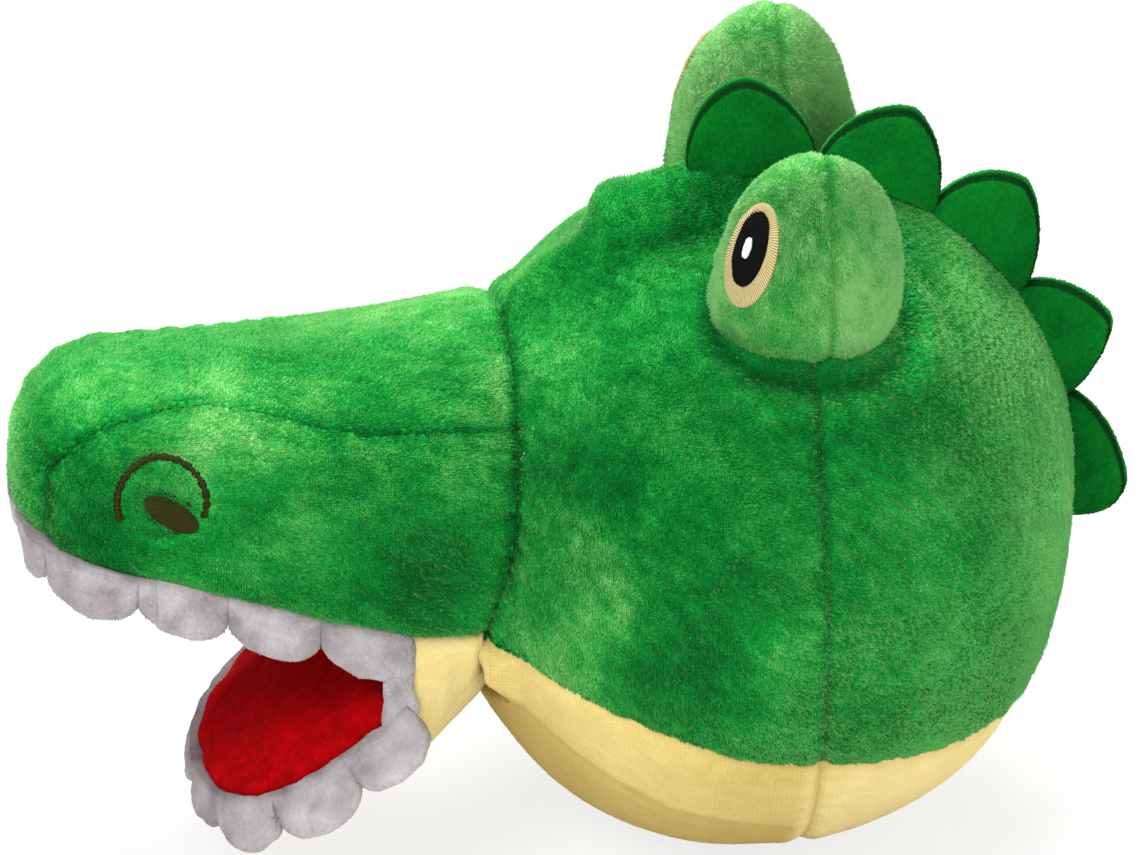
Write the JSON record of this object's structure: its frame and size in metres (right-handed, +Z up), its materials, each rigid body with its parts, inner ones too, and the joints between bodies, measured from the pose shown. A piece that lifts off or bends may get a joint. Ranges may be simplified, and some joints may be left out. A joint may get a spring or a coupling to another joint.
{
  "type": "plush animal head stress toy",
  "caption": "Soft stress toy shaped as a reptile's head: a round squeezable back, a long stuffed snout, a lower jaw on a cloth fold, raised eyes, fleece teeth and soft spine scutes.",
  "frame": {"origin": "middle of the small flat under the belly that the toy rests on", "axes": "+Z up, away from the ground; the snout points to -Y; +X is the toy's own left side"},
  "size_m": [0.11, 0.196, 0.1419],
  "materials": {
    "green_velour": "short-pile plush velour, mid green",
    "deep_green_velour": "short-pile plush velour, deep green",
    "cream_velour": "short-pile plush velour, cream",
    "red_velour": "short-pile plush velour, red",
    "white_fleece": "curly fleece, off-white",
    "cut_foam": "slow-recovery foam with a matt skin",
    "fibre_filling": "loose polyester fibre",
    "gold_thread": "satin-stitched embroidery thread, gold",
    "black_thread": "satin-stitched embroidery thread, black",
    "white_thread": "satin-stitched embroidery thread, white",
    "olive_thread": "satin-stitched embroidery thread, dark olive"
  },
  "bodies": {
    "head_and_snout": {"head_front_left": "green_velour", "head_front_right": "green_velour", "head_back_left": "green_velour", "head_back_right": "green_velour", "belly_front": "cream_velour", "belly_back": "cream_velour", "head_foam_core": "cut_foam", "snout_top_panel": "green_velour", "snout_side_left": "green_velour", "snout_side_right": "green_velour", "palate_lining": "red_velour", "snout_stuffing": "fibre_filling", "upper_teeth": "white_fleece", "spine_strip_left": "deep_green_velour", "spine_strip_right": "deep_green_velour", "eye_front_left": "green_velour", "eye_front_right": "green_velour", "eye_back_left": "green_velour", "eye_back_right": "green_velour", "eye_stuffing_left": "fibre_filling", "eye_stuffing_right": "fibre_filling", "iris_left": "gold_thread", "iris_right": "gold_thread", "pupil_left": "black_thread", "pupil_right": "black_thread", "eye_highlight_left": "white_thread", "eye_highlight_right": "white_thread", "nostril_left": "olive_thread", "nostril_right": "olive_thread", "nostril_line_left": "olive_thread", "nostril_line_right": "olive_thread"},
    "lower_jaw": {"jaw_lining": "red_velour", "jaw_underside": "cream_velour", "jaw_stuffing": "fibre_filling", "lower_teeth": "white_fleece"}
  },
  "joints": [
    {"name": "jaw_fold", "type": "hinge", "parent": "head_and_snout", "child": "lower_jaw", "pos_m": [0, -0.057, 0.0374], "axis": [1, 0, 0], "range_deg": [-20, 12], "stiffness_Nm_per_rad": 0.05}
  ]
}
